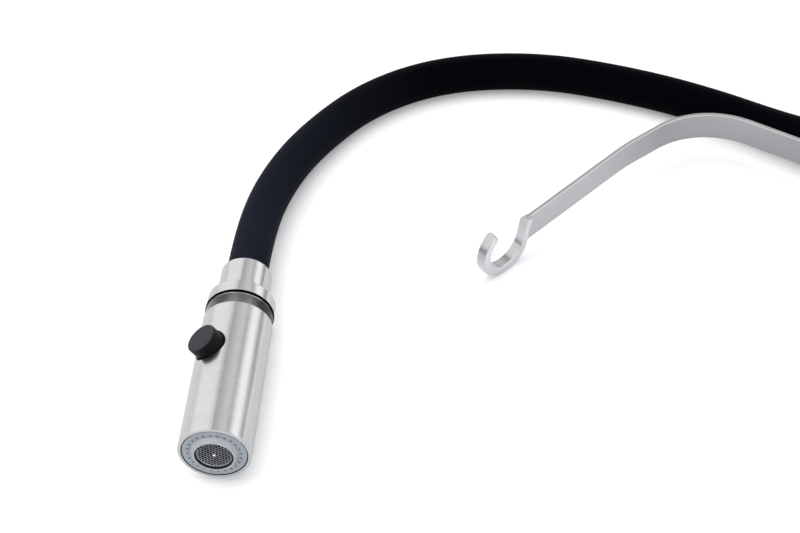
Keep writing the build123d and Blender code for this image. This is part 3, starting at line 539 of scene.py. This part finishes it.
def make_finishes(colours):
    """All materials by name."""
    tone = {name: tuple(getattr(colours, name)) for name in TapColours.__annotations__}
    steel = tone["steel"]
    head_turn = (0, HEAD_TILT, HEAD_HEADING)
    return {
        "column": brushed_steel("column_steel", steel, AROUND_X),
        "valve": brushed_steel("valve_steel", steel, AROUND_Z),
        "head": brushed_steel(
            "head_steel", steel, AROUND_HEAD, head_turn, roughness=0.25, depth=0.3
        ),
        "strip": brushed_steel(
            "strip_steel", tone["strip"], ALONG_STRIP, roughness=0.36, edge=tone["edge"]
        ),
        "rod": brushed_steel("rod_steel", steel, ALONG_X),
        "hook": satin_steel("hook_steel", tone["hook"]),
        "bright": satin_steel("bright_steel", steel, roughness=0.3),
        "brass": brushed_steel("turned_brass", tone["brass"], AROUND_X, roughness=0.28),
        "copper": brushed_steel("drawn_copper", tone["copper"], ALONG_X),
        "hose": black_rubber("hose_rubber", tone["rubber"], tone["bloom"]),
        "rubber": black_rubber("seal_rubber", tone["rubber"]),
        "button": moulded_plastic(
            "button_plastic", tone["button"], specular=0.14, painted_light=tone["button_top"]
        ),
        "face": moulded_plastic("face_plastic", tone["face"], roughness=0.4),
        "boss": moulded_plastic("boss_plastic", tone["boss"], roughness=0.36),
        "screen": moulded_plastic("screen_plastic", tone["screen"], roughness=0.34),
        "plastic": moulded_plastic("inner_plastic", tone["plastic"], roughness=0.45),
        "ceramic": glazed_ceramic("disc_ceramic", tone["ceramic"]),
    }


NODE_FINISHES = {
    "column": ["base_flange", "column_tube", "swivel_spigot", "carrier_ring", "hose_base_ferrule"],
    "valve": ["valve_housing", "cover_cap", "lever_hub"],
    "head": ["head_shell", "head_collar", "hose_head_ferrule", "head_neck"],
    "strip": ["arm_strip"],
    "rod": ["lever_rod"],
    "hook": ["arm_hook"],
    "bright": [
        "steel_washer", "column_set_screw", "pivot_pin", "lever_spindle", "lever_grub_screw",
        "swivel_circlip", "nipple_circlip", "arm_screws", "button_spring",
    ],
    "brass": [
        "threaded_shank", "shank_nut", "valve_body", "cartridge_nut", "hose_base_nipple",
        "hose_head_nipple",
    ],
    "copper": ["riser_tube"],
    "hose": ["spray_hose"],
    "rubber": [
        "deck_seal", "rubber_washer", "cartridge_seal", "plug_oring", "collar_seal",
        "neck_oring", "face_seal", "aerator_insert",
    ],
    "button": ["button_cap", "button_sleeve"],
    "face": ["face_plate", "spray_nozzles"],
    "boss": ["aerator_housing"],
    "screen": ["aerator_mesh"],
    "plastic": [
        "cartridge_case", "stem_carrier", "swivel_bush_lower", "swivel_bush_upper", "check_valve",
        "head_core", "diverter_stem",
    ],
    "ceramic": ["fixed_ceramic_disc", "moving_ceramic_disc"],
}
FINISHES = {}


def new_object(name, data, finish):
    """Links a new object at the origin and gives it a finish."""
    made = bpy.data.objects.new(name, data)
    bpy.context.scene.collection.objects.link(made)
    if not data.materials:
        data.materials.append(FINISHES[finish])
    return made


def plain_mesh(name, bm):
    """A mesh from a finished bmesh."""
    mesh = bpy.data.meshes.new(name)
    bm.to_mesh(mesh)
    bm.free()
    return mesh


def turned_mesh(name, profile, place):
    """A mesh turned on the spray head's axis from a profile of (radius, height)."""
    bm = bmesh.new()
    corners = [bm.verts.new((radius, 0, height)) for radius, height in profile]
    edges = [bm.edges.new(pair) for pair in zip(corners, corners[1:])]
    bmesh.ops.spin(
        bm, geom=edges, cent=(0, 0, 0), axis=(0, 0, 1), angle=2 * pi, steps=TURNED_STEPS
    )
    bmesh.ops.remove_doubles(bm, verts=bm.verts, dist=TURNED_MERGE)
    bmesh.ops.recalc_face_normals(bm, faces=bm.faces)
    mesh = plain_mesh(name, bm)
    mesh.transform(place)
    return mesh


def ringed_mesh(name, rings, capped):
    """A mesh over rings of points: capped at both ends, or closed from the last to the first."""
    bm = bmesh.new()
    loops = [[bm.verts.new(point) for point in ring] for ring in rings]
    for loop, following in zip(loops, loops[1:] if capped else loops[1:] + loops[:1]):
        for i in range(len(loop)):
            j = (i + 1) % len(loop)
            bm.faces.new((loop[i], following[i], following[j], loop[j]))
    if capped:
        bm.faces.new(loops[0])
        bm.faces.new(loops[-1])
    bmesh.ops.recalc_face_normals(bm, faces=bm.faces)
    return plain_mesh(name, bm)


class ShapeNodes(Nodes):
    """A Geometry Nodes tree with named sizes as its inputs."""

    def __init__(self, name, **sizes):
        super().__init__(bpy.data.node_groups.new(name, "GeometryNodeTree"))
        interface = self.tree.interface
        interface.new_socket("Geometry", in_out="OUTPUT", socket_type="NodeSocketGeometry")
        self.inputs = {}
        for key, size in sizes.items():
            kind = "NodeSocketInt" if isinstance(size, int) else "NodeSocketFloat"
            socket = interface.new_socket(key, in_out="INPUT", socket_type=kind)
            socket.default_value = size
            self.inputs[socket.identifier] = size
        self.entry = self.tree.nodes.new("NodeGroupInput")

    def size(self, name):
        """A named size as a term."""
        return Term(self, self.entry.outputs[name])

    def join(self, *parts):
        """Joins geometries into one."""
        made = self.tree.nodes.new("GeometryNodeJoinGeometry")
        for part in parts:
            self.feed(made.inputs[0], part)
        return Term(self, made.outputs[0])

    def finish(self, geometry, material, place):
        """Realizes the result, turns it into a plain mesh and moves it into place."""
        real = self.node("GeometryNodeRealizeInstances", {}, {0: geometry})
        dressed = self.node(
            "GeometryNodeSetMaterial", {}, {"Geometry": real, "Material": material}
        )
        self.node("NodeGroupOutput", {}, {0: dressed})
        holder = bpy.data.objects.new("holder", bpy.data.meshes.new("holder"))
        bpy.context.scene.collection.objects.link(holder)
        modifier = holder.modifiers.new("shape", "NODES")
        modifier.node_group = self.tree
        for identifier, size in self.inputs.items():
            modifier[identifier] = size
        seen = holder.evaluated_get(bpy.context.evaluated_depsgraph_get())
        mesh = bpy.data.meshes.new_from_object(seen)
        bpy.data.objects.remove(holder)
        mesh.transform(place)
        return mesh


class TAP_OT_finishes(bpy.types.Operator):
    """Gives every CAD piece its finish"""

    bl_idname = "tap.finishes"
    bl_label = "Finishes"

    def execute(self, context):
        FINISHES.update(make_finishes(context.scene.tap_colours))
        for finish, names in NODE_FINISHES.items():
            for name in names:
                materials = NODES[name].data.materials
                materials.clear()
                materials.append(FINISHES[finish])
        return {"FINISHED"}


class TAP_OT_hose(bpy.types.Operator):
    """Lays the rubber hose along its route"""

    bl_idname = "tap.hose"
    bl_label = "Hose"

    def execute(self, context):
        diameter = context.scene.tap_sizes.hose_diameter
        end = HEAD_FACE + HEAD_AXIS * HOSE_END_FROM_FACE
        route = [Vector(p) for p in HOSE_ROUTE] + [end + HEAD_AXIS * HOSE_END_STRAIGHT, end]
        curve = bpy.data.curves.new("rubber_hose", "CURVE")
        curve.dimensions = "3D"
        spline = curve.splines.new("NURBS")
        spline.points.add(len(route) - 1)
        for point, place in zip(spline.points, route):
            point.co = (*place, 1)
        spline.order_u = 3
        spline.use_endpoint_u = True
        spline.resolution_u = HOSE_STEPS
        curve.bevel_depth = diameter / 2
        curve.bevel_resolution = HOSE_STEPS
        curve.use_fill_caps = True
        hose = new_object("rubber_hose", curve, "hose")
        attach(hose, "root")
        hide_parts("spray_hose")
        return {"FINISHED"}


class TAP_OT_nozzle_mouths(bpy.types.Operator):
    """Puts a dark funnel into every nozzle of the spray face"""

    bl_idname = "tap.nozzle_mouths"
    bl_label = "Nozzle mouths"

    def execute(self, context):
        sizes = context.scene.tap_sizes
        tree = ShapeNodes(
            "nozzle_mouths",
            Count=sizes.nozzle_count,
            Circle=sizes.nozzle_circle,
            Mouth=sizes.nozzle_mouth,
        )
        circle = tree.node(
            "GeometryNodeMeshCircle",
            {},
            {"Vertices": tree.size("Count"), "Radius": tree.size("Circle")},
        )
        funnel = tree.node(
            "GeometryNodeMeshCone",
            {"fill_type": "NGON"},
            {
                "Vertices": NOZZLE_SIDES,
                "Radius Top": NOZZLE_THROAT,
                "Radius Bottom": tree.size("Mouth"),
                "Depth": NOZZLE_DEPTH,
            },
        )
        mouths = tree.node(
            "GeometryNodeInstanceOnPoints", {}, {"Points": circle, "Instance": funnel}
        )
        front = Matrix.Translation((0, 0, NOZZLE_FRONT))
        place = HEAD_PLACE @ front @ Matrix.Rotation(NOZZLE_TURN, 4, "Z")
        mesh = tree.finish(mouths, FINISHES["rubber"], place)
        piece = new_object("nozzle_mouths", mesh, "rubber")
        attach(piece, "spray_head")
        return {"FINISHED"}


class TAP_OT_screen(bpy.types.Operator):
    """Makes the aerator's fine honeycomb screen"""

    bl_idname = "tap.screen"
    bl_label = "Aerator screen"

    def execute(self, context):
        sizes = context.scene.tap_sizes
        tree = ShapeNodes(
            "aerator_screen",
            Pitch=sizes.cell_pitch,
            Wall=sizes.cell_wall,
            Radius=sizes.screen_radius,
            Depth=SCREEN_DEPTH,
        )
        holder = bpy.data.objects.new("cell_places", self.cell_places(sizes))
        bpy.context.scene.collection.objects.link(holder)
        points = tree.node("GeometryNodeObjectInfo", {}, {"Object": holder}, output="Geometry")
        corner = tree.size("Pitch") / (2 * cos(pi / CELL_SIDES))
        cell = self.circle(tree, CELL_SIDES, corner)
        rim = self.circle(tree, SCREEN_SIDES, tree.size("Radius"))
        wall = tree.node(
            "GeometryNodeCurvePrimitiveQuadrilateral",
            {"mode": "RECTANGLE"},
            {"Width": tree.size("Wall"), "Height": tree.size("Depth")},
        )
        tube = tree.node("GeometryNodeCurveToMesh", {}, {0: cell, 1: wall})
        turn = (0, 0, pi / CELL_SIDES)
        turned = tree.node("GeometryNodeTransform", {}, {"Geometry": tube, "Rotation": turn})
        cells = tree.node(
            "GeometryNodeInstanceOnPoints", {}, {"Points": points, "Instance": turned}
        )
        frame = tree.node("GeometryNodeCurveToMesh", {}, {0: rim, 1: wall})
        place = HEAD_PLACE @ Matrix.Translation((0, 0, SCREEN_HEIGHT))
        mesh = tree.finish(tree.join(cells, frame), FINISHES["screen"], place)
        bpy.data.objects.remove(holder)
        piece = new_object("aerator_screen", mesh, "screen")
        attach(piece, "spray_head")
        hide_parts("aerator_mesh")
        return {"FINISHED"}

    def cell_places(self, sizes):
        """A mesh with one point for the middle of each cell."""
        reach = sizes.screen_radius - SCREEN_MARGIN * sizes.cell_pitch
        bm = bmesh.new()
        for row in range(-SCREEN_ROWS, SCREEN_ROWS + 1):
            for column in range(-SCREEN_ROWS, SCREEN_ROWS + 1):
                x = sizes.cell_pitch * (column + (row % 2) / 2)
                y = sizes.cell_pitch * row * sin(pi / 3)
                if x * x + y * y < reach**2:
                    bm.verts.new((x, y, 0))
        return plain_mesh("cell_places", bm)

    def circle(self, tree, sides, radius):
        """A closed curve of straight sides."""
        values = {"Resolution": sides, "Radius": radius}
        return tree.node("GeometryNodeCurvePrimitiveCircle", {}, values)


class TAP_OT_screen_pin(bpy.types.Operator):
    """Turns the small domed pin in the middle of the screen"""

    bl_idname = "tap.screen_pin"
    bl_label = "Screen pin"

    def execute(self, context):
        profile = [(PIN_RADIUS, 0)]
        for i in range(PIN_STEPS + 1):
            angle = pi / 2 * i / PIN_STEPS
            height = -PIN_SHANK - (PIN_HEIGHT - PIN_SHANK) * sin(angle)
            profile.append((PIN_RADIUS * cos(angle), height))
        place = HEAD_PLACE @ Matrix.Translation((0, 0, SCREEN_HEIGHT))
        # The pin is white as a painted glint on its dome.
        piece = new_object("screen_pin", turned_mesh("screen_pin", profile, place), "ceramic")
        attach(piece, "spray_head")
        return {"FINISHED"}


class TAP_OT_screen_rim(bpy.types.Operator):
    """Turns the black rim that holds the screen in the aerator"""

    bl_idname = "tap.screen_rim"
    bl_label = "Screen rim"

    def execute(self, context):
        inner = context.scene.tap_sizes.screen_radius + RIM_GAP
        outer = inner + RIM_WALL
        profile = [
            (outer, RIM_BACK),
            (outer, RIM_FRONT + RIM_BEVEL),
            (outer - RIM_BEVEL, RIM_FRONT),
            (inner + RIM_BEVEL, RIM_FRONT),
            (inner, RIM_FRONT + RIM_BEVEL),
            (inner, RIM_BACK),
            (outer, RIM_BACK),
        ]
        mesh = turned_mesh("screen_rim", profile, HEAD_PLACE)
        piece = new_object("screen_rim", mesh, "button")
        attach(piece, "spray_head")
        return {"FINISHED"}


class TAP_OT_spring(bpy.types.Operator):
    """Winds the button's spring"""

    bl_idname = "tap.spring"
    bl_label = "Button spring"

    def execute(self, context):
        steps = SPRING_TURNS * SPRING_TURN_STEPS
        rings = [self.wire_ring(step, steps) for step in range(steps + 1)]
        mesh = ringed_mesh("button_return_spring", rings, capped=True)
        mesh.transform(BUTTON_PLACE)
        piece = new_object("button_return_spring", mesh, "bright")
        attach(piece, "button")
        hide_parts("button_spring")
        BUTTON_PLACE @ Vector((0, 0, BUTTON_FOOT))
        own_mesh(piece)
        return {"FINISHED"}

    def wire_ring(self, step, steps):
        """The points round the wire at one step of the winding."""
        wire = SPRING_WIRE / 2
        low = SPRING_FOOT + wire
        rise = SPRING_TOP - wire - low
        angle = 2 * pi * step / SPRING_TURN_STEPS
        outward = Vector((cos(angle), sin(angle), 0))
        middle = outward * SPRING_RADIUS + Vector((0, 0, low + rise * step / steps))
        rolls = [2 * pi * side / WIRE_SIDES for side in range(WIRE_SIDES)]
        return [middle + outward * wire * cos(r) + Vector((0, 0, wire * sin(r))) for r in rolls]


class TAP_OT_shank(bpy.types.Operator):
    """Cuts a real helical thread on the shank"""

    bl_idname = "tap.shank"
    bl_label = "Threaded shank"

    def execute(self, context):
        sizes = context.scene.tap_sizes
        low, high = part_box("threaded_shank")
        start, end = low[0], high[0]
        outer = (high[1] - low[1]) / 2
        bore = outer - SHANK_WALL
        run = end - THREAD_START
        count = int(run / sizes.thread_pitch * THREAD_TURN_STEPS)
        stations = [start, THREAD_START - THREAD_RUN_OUT]
        stations += [THREAD_START + run * i / count for i in range(count + 1)]
        rings = []
        for x in stations:
            cuts = [self.thread_cut(sizes, x, end, i) for i in range(SHANK_SIDES)]
            rings.append(self.ring(x, [outer - cut for cut in cuts]))
        rings += [self.ring(x, [bore] * SHANK_SIDES) for x in (end, start)]
        mesh = ringed_mesh("shank_thread", rings, capped=False)
        piece = new_object("shank_thread", mesh, "brass")
        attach(piece, "root")
        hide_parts("threaded_shank")
        return {"FINISHED"}

    def thread_cut(self, sizes, x, end, side):
        """How deep the thread is cut at a place along the shank and a side round it."""
        phase = (x / sizes.thread_pitch - side / SHANK_SIDES) % 1
        crest = clamp((THREAD_ROOT - abs(phase - 0.5)) / THREAD_FLANK)
        begun = clamp((x - THREAD_START) / THREAD_RUN_OUT)
        tip = clamp((end - x) / THREAD_RUN_OUT + THREAD_TIP)
        return sizes.thread_depth * max((1 - crest) * begun, 1 - tip)

    def ring(self, x, radii):
        """Points round the shank's axis, one for each radius."""
        angles = [2 * pi * i / len(radii) for i in range(len(radii))]
        return [(x, r * cos(a), r * sin(a)) for r, a in zip(radii, angles)]


class TAP_OT_stage(bpy.types.Operator):
    """Sets up the white floor, the soft light and the camera"""

    bl_idname = "tap.stage"
    bl_label = "Stage"

    def execute(self, context):
        stage = context.scene.tap_stage
        self.make_floor(stage)
        self.make_world(context.scene, stage)
        self.make_lights(stage)
        self.make_cards()
        self.make_camera(context.scene, stage)
        context.scene.view_settings.view_transform = "Standard"
        return {"FINISHED"}

    def make_floor(self, stage):
        """A wide white surface with soft shadows; in reflections it is painted darker, with a
        painted pool of light by the strip.
        """
        mesh = bpy.data.meshes.new("white_floor")
        height = FLOOR_HEIGHT - FLOOR_GAP
        sides = (-FLOOR_HALF, FLOOR_HALF)
        corners = [(x, y, height) for x in sides for y in sides]
        mesh.from_pydata(corners, [], [(0, 2, 3, 1)])
        nodes = self.new_material(mesh, "floor_white")
        white = tuple(stage.floor)
        # Painted reflection: a darker floor in the metal, with a painted pool of light round the
        # strip.
        painted_light_by_strip = PAINTED_LIGHT_REACH - nodes.measure("DISTANCE", PAINTED_LIGHT_MIDDLE) / PAINTED_LIGHT_FADE
        levels = (stage.floor_painted_shade, stage.strip_mirrored)
        painted_reflection = nodes.tint(painted_light_by_strip, *(shade(white, level) for level in levels))
        colour = nodes.tint(nodes.rays("Glossy"), white, painted_reflection)
        matte = nodes.node("ShaderNodeBsdfDiffuse", {}, {"Color": colour})
        glow = nodes.node("ShaderNodeEmission", {}, {"Color": WHITE})
        share = nodes.rays("Camera") * stage.floor_glow
        shown = nodes.node("ShaderNodeMixShader", {}, {0: share, 1: matte, 2: glow})
        nodes.node("ShaderNodeOutputMaterial", {}, {"Surface": shown})
        self.add_to_stage(mesh)

    def new_material(self, mesh, name):
        """An empty material on a mesh of the stage."""
        material = bpy.data.materials.new(name)
        mesh.materials.append(material)
        nodes = ShaderNodes(material)
        nodes.tree.nodes.clear()
        return nodes

    def add_to_stage(self, mesh):
        """Links a mesh as a thing of the stage."""
        thing = bpy.data.objects.new(mesh.name, mesh)
        bpy.context.scene.collection.objects.link(thing)
        return thing

    def make_world(self, scene, stage):
        """White where it is seen or mirrored, soft cool light elsewhere."""
        scene.world = bpy.data.worlds.new("studio")
        nodes = ShaderNodes(scene.world)
        nodes.tree.nodes.clear()
        cool = {"Color": SKY_COLOUR, "Strength": stage.sky}
        light = nodes.node("ShaderNodeBackground", {}, cool)
        white = nodes.node("ShaderNodeBackground", {}, {"Color": WHITE, "Strength": 1.0})
        seen = nodes.rays("Camera") | nodes.rays("Glossy") | nodes.rays("Transmission")
        shown = nodes.node("ShaderNodeMixShader", {}, {0: seen, 1: light, 2: white})
        nodes.node("ShaderNodeOutputWorld", {}, {"Surface": shown})

    def make_cards(self):
        """Long grey and white cards round the spray head, seen only as reflections in metal."""
        across = Vector((HEAD_AXIS.y, -HEAD_AXIS.x, 0))
        up = Vector((0, 0, 1))
        reach = HEAD_AXIS * CARD_REACH
        for name, (low, high, level) in REFLECTION_CARDS.items():
            angles = [radians(low + (high - low) * i / CARD_STEPS) for i in range(CARD_STEPS + 1)]
            rim = [HEAD_FACE + (across * sin(a) + up * cos(a)) * CARD_DISTANCE for a in angles]
            places = [p - reach for p in rim] + [p + reach for p in rim]
            row = len(rim)
            faces = [(i, i + 1, row + i + 1, row + i) for i in range(CARD_STEPS)]
            mesh = bpy.data.meshes.new(name)
            mesh.from_pydata(places, [], faces)
            nodes = self.new_material(mesh, name)
            glow = nodes.node("ShaderNodeEmission", {}, {"Color": WHITE, "Strength": level})
            nodes.node("ShaderNodeOutputMaterial", {}, {"Surface": glow})
            card = self.add_to_stage(mesh)
            card.visible_camera = False
            card.visible_diffuse = False
            card.visible_transmission = False
            card.visible_shadow = False

    def make_lights(self, stage):
        """One large softbox overhead, and two weaker ones from the left and the front."""
        for name, (offset, size, share) in LAMPS.items():
            lamp = bpy.data.lights.new(name, "AREA")
            lamp.shape = "DISK"
            lamp.size = size
            lamp.energy = stage.softbox * share
            thing = bpy.data.objects.new(name, lamp)
            thing.location = LAMP_MIDDLE + Vector(offset)
            thing.rotation_euler = Vector(offset).to_track_quat("Z", "Y").to_euler()
            thing.visible_glossy = False
            bpy.context.scene.collection.objects.link(thing)

    def make_camera(self, scene, stage):
        """Camera at the photograph's angle."""
        lens = bpy.data.cameras.new("camera")
        lens.lens = stage.lens
        lens.sensor_width = CAMERA_SENSOR
        lens.clip_start = CAMERA_NEAREST
        camera = bpy.data.objects.new("camera", lens)
        camera.location = CAMERA_PLACE
        look = CAMERA_PLACE - CAMERA_TARGET
        camera.rotation_euler = look.to_track_quat("Z", "Y").to_euler()
        scene.collection.objects.link(camera)
        scene.camera = camera


class TAP_PT_pieces(bpy.types.Panel):
    """Lists the pieces of the tap"""

    bl_idname = "TAP_PT_pieces"
    bl_label = "Kitchen mixer tap"
    bl_space_type = "VIEW_3D"
    bl_region_type = "UI"
    bl_category = "Tap"

    def draw(self, context):
        for operator in OPERATORS:
            self.layout.operator(operator.bl_idname)


OPERATORS = (
    TAP_OT_finishes,
    TAP_OT_hose,
    TAP_OT_nozzle_mouths,
    TAP_OT_screen,
    TAP_OT_screen_pin,
    TAP_OT_screen_rim,
    TAP_OT_spring,
    TAP_OT_shank,
    TAP_OT_stage,
)
GROUPS = {"tap_sizes": TapSizes, "tap_colours": TapColours, "tap_stage": TapStage}


def register():
    """Registers the classes and puts their settings on the scene."""
    for group in (*GROUPS.values(), *OPERATORS, TAP_PT_pieces):
        bpy.utils.register_class(group)
    for name, group in GROUPS.items():
        setattr(bpy.types.Scene, name, bpy.props.PointerProperty(type=group))


def unregister():
    """Takes away what register added."""
    for name in GROUPS:
        delattr(bpy.types.Scene, name)
    for group in (TAP_PT_pieces, *OPERATORS, *GROUPS.values()):
        bpy.utils.unregister_class(group)


def main():
    """Makes the pieces and the stage in order."""
    register()
    bpy.ops.tap.finishes()
    bpy.ops.tap.hose()
    bpy.ops.tap.nozzle_mouths()
    bpy.ops.tap.screen()
    bpy.ops.tap.screen_pin()
    bpy.ops.tap.screen_rim()
    bpy.ops.tap.spring()
    bpy.ops.tap.shank()
    bpy.ops.tap.stage()


if __name__ == "__main__":
    main()
